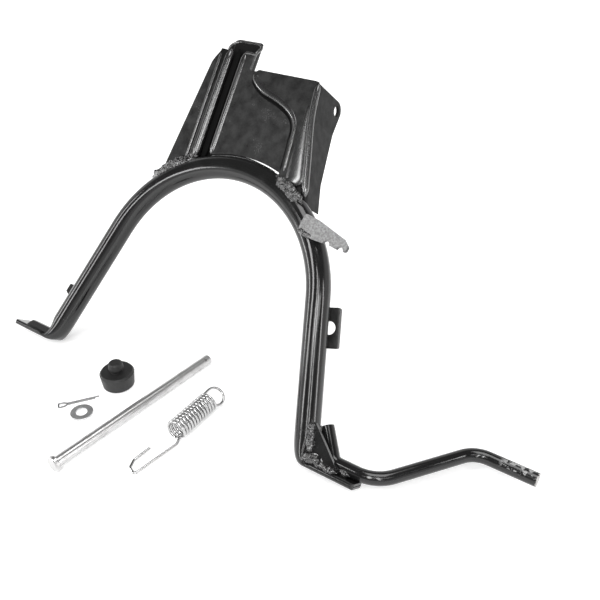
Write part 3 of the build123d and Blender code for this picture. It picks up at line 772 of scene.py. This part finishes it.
def round_arch(start_deg, end_deg, from_centre, y):
    """Three points round the outside of the arch."""
    angles = [radians(start_deg + (end_deg - start_deg) * i / 2) for i in range(3)]
    return [on_stand(from_centre * cos(a), y, from_centre * sin(a)) for a in angles]


def beside_leg(z, outward, back):
    """A point beside the right leg, outward being square to the leg."""
    centre_x = ARCH_R * cos(SPLAY) + (ARCH_R * sin(SPLAY) - z) * sin(SPLAY) / cos(SPLAY)
    return on_stand(centre_x + outward * cos(SPLAY), back, z + outward * sin(SPLAY))


ARM_WELD = [on_stand(85.5, -13.5, 85.5), on_stand(92, -13.5, 83), on_stand(101, -12, 82)]
TAB_WELD = [beside_leg(12.5 + d, -3.4, TUBE_R + 0.6) for d in (-13, 0, 13)]
GUSSET_LEG_WELD = [beside_leg(z, TUBE_R * 0.72, -9.4) for z in (-67, -78, -90)]
GUSSET_TOE_WELD = [on_stand(x, -8.4, FOOT_TOP_Z + 1.6) for x in (168, 177, 188)]
GUSSET_HEEL_WELD = [on_stand(x, -8.6, z) for x, z in ((157, -95), (165, -92.5), (174, -92))]
LEVER_FOOT_WELD = [on_stand(x, -2.1, FOOT_TOP_Z + 2.4) for x in (179, 189, 198)]
LEVER_LEG_WELD = [beside_leg(-70 + d, TUBE_R * 0.98, -0.5) for d in (1, -4, -9)]

# Each bead's runs, and each run's radius in millimetres
BEADS = {
    "weld_left_cheek": [
        (round_arch(136, 115, CROWN_R + 1.5, -2.5), 4.4),
        (round_arch(134, 117, CROWN_R - 2.5, -6.5), 3.8),
    ],
    "weld_right_cheek": [
        (round_arch(70, 56, CROWN_R - 2.0, -8.6), 4.2),
        (round_arch(69, 57, CROWN_R - 5.0, -9.4), 3.4),
    ],
    "weld_hook_arm": [(ARM_WELD, 2.5)],
    "weld_buffer_tab": [(TAB_WELD, 2.5)],
    "weld_gusset_leg": [(GUSSET_LEG_WELD, 3.3)],
    "weld_gusset_foot": [(GUSSET_TOE_WELD, 3.2), (GUSSET_HEEL_WELD, 4.4)],
    "weld_lever_foot": [(LEVER_FOOT_WELD, 2.5)],
    "weld_lever_leg": [(LEVER_LEG_WELD, 2.5)],
}
print("beads to lay:", len(BEADS))

# %% [markdown]
# Each bead becomes a mesh of its own, takes the place of the plain run in the frame, and rides on the
# frame's one body. Smooth shading hides the rings' small faces, and the ripples stay.

# %% Lay the beads
weld_finish = weld_paint("black weld")
for seed, (node_name, runs) in enumerate(BEADS.items()):
    shape = bmesh.new()
    for number, (points, radius) in enumerate(runs):
        add_bead(shape, points, radius * MM, seed * 7.3 + number * 3.1)
    add_drops(shape, runs[0][0], runs[0][1] * DROP_SPREAD * MM, DROPS, seed * 5.7)
    bead = finished_piece(node_name + "_bead", shape)
    coat(bead, weld_finish)
    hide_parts(node_name)
    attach(bead, "root")
    print(bead.name, "has", len(bead.data.polygons), "faces")

# %% [markdown]
# The floor is a plain white sheet that runs far out behind the stand. It reflects the light as any
# pale sheet does, which keeps the soft shadows, and it also glows a little, but only for rays that
# come from the camera or from a mirror-like surface. That lifts it to white without more light on
# the stand. It glows less near the stand than farther off, so that the shadows there aren't lost.

# %% White floor
FLOOR_SIZE = 12.0
AIM = Vector((0.06, -0.14, -0.1))
NEAR = 0.22
FAR = 0.6
NEAR_GLOW = 0.38
FAR_GLOW = 0.85


def rays_that_see(tree):
    """1 for rays from the camera and from reflections and glass, 0 for the light that bounces softly."""
    camera_ray = tree.add("ShaderNodeLightPath", take="Is Camera Ray")
    glossy_ray = tree.add("ShaderNodeLightPath", take="Is Glossy Ray")
    clear_ray = tree.add("ShaderNodeLightPath", take="Is Transmission Ray")
    return camera_ray | glossy_ray | clear_ray


floor_data = bpy.data.meshes.new("floor")
half = FLOOR_SIZE / 2
corners = [(-half, -half, FLOOR_Z), (half, -half, FLOOR_Z), (half, half, FLOOR_Z), (-half, half, FLOOR_Z)]
floor_data.from_pydata(corners, [], [(0, 1, 2, 3)])
floor = bpy.data.objects.new("floor", floor_data)
bpy.context.scene.collection.objects.link(floor)
floor_white, tree = new_finish("floor white")
matte = tree.add("ShaderNodeBsdfDiffuse", {}, {"Color": grey(0.8)})
offset = tree.add("ShaderNodeVectorMath", {"operation": "SUBTRACT"}, {0: place(tree), 1: AIM})
distance = tree.add("ShaderNodeVectorMath", {"operation": "LENGTH"}, {0: offset}, "Value")
shade = mixed(tree, marks(tree, distance, NEAR, FAR), grey(NEAR_GLOW), grey(FAR_GLOW))
glow = tree.add("ShaderNodeEmission", {}, {"Color": shade, "Strength": rays_that_see(tree)})
both = tree.add("ShaderNodeAddShader", {}, {0: matte, 1: glow})
tree.add("ShaderNodeOutputMaterial", {}, {"Surface": both})
floor_data.materials.append(floor_white)
print("floor", FLOOR_SIZE, "m across")

# %% [markdown]
# The room is white at the height of the stand and darker overhead, as a studio with a grey ceiling is.
# Gloss paint shows both: the sides of the tube pick up the pale room, and its top stays black.

# %% The room
ROOM_LIGHT = 0.4
CEILING = 0.1

world = bpy.data.worlds.new("studio")
bpy.context.scene.world = world
tree = Tree(world)
direction = tree.add("ShaderNodeTexCoord", take="Generated")
upward = tree.add("ShaderNodeSeparateXYZ", {}, {"Vector": direction}, "Z")
backward = tree.add("ShaderNodeSeparateXYZ", {}, {"Vector": direction}, "Y")
ceiling = marks(tree, upward - backward * 0.25, 0.3, 0.6)
camera_ray = tree.add("ShaderNodeLightPath", take="Is Camera Ray")
seen_white = 1 - ceiling * (1 - CEILING) * (1 - camera_ray)
strength = ROOM_LIGHT + rays_that_see(tree) * (seen_white - ROOM_LIGHT)
room = tree.add("ShaderNodeBackground", {}, {"Color": grey(1.0), "Strength": strength})
tree.add("ShaderNodeOutputWorld", {}, {"Surface": room})
print("room light", ROOM_LIGHT, "ceiling", CEILING)

# %% [markdown]
# The thin bright lines along a black tube are reflections of long narrow lamps. Each lamp stands in
# the direction in which the tube mirrors it to the camera, and is turned so that its long side runs up
# and down. How bright it looks is set first, and its power is worked out from that and its size.

# %% Strip lamps
LAMP_DISTANCE = 1.2


def strip_lamp(name, direction, width, height, brightness, lean=0.0):
    """A long narrow lamp that looks that bright, standing in a direction from the stand."""
    data = bpy.data.lights.new(name, "AREA")
    data.shape = "RECTANGLE"
    data.size = width
    data.size_y = height
    data.energy = brightness * pi * width * height
    lamp = bpy.data.objects.new(name, data)
    back = Vector(direction).normalized()
    side = Vector((0, 0, 1)).cross(back).normalized()
    turn = Matrix((side, back.cross(side), back)).transposed() @ Matrix.Rotation(radians(lean), 3, "Z")
    lamp.matrix_world = Matrix.Translation(AIM + back * LAMP_DISTANCE) @ turn.to_4x4()
    lamp.visible_camera = False
    bpy.context.scene.collection.objects.link(lamp)
    return data.energy


# Each lamp's direction, width, height, brightness and, for one, its lean in degrees
LAMPS = {
    "left": ((-0.38, -0.72, 0.5), 0.2, 0.9, 11.0, -8.0),
    "far left": ((-0.84, -0.45, 0.2), 0.12, 0.6, 11.0),
    "front": ((0.281, -0.715, 0.638), 0.12, 0.7, 12.0),
    "right front": ((0.56, -0.623, 0.544), 0.1, 0.8, 12.0),
    "right": ((0.957, 0.0, 0.275), 0.12, 0.9, 10.0),
    "over the camera": ((0.46, -0.6, 0.68), 1.1, 0.12, 5.0),
    "overhead": ((0.15, 0.06, 0.98), 0.8, 0.5, 5.0),
}
for lamp_name, facts in LAMPS.items():
    print(lamp_name, "lamp", round(strip_lamp(lamp_name, *facts), 2), "W")

# %% [markdown]
# The box of the solid model was taken when the frame was opened, and stays in cad_box.
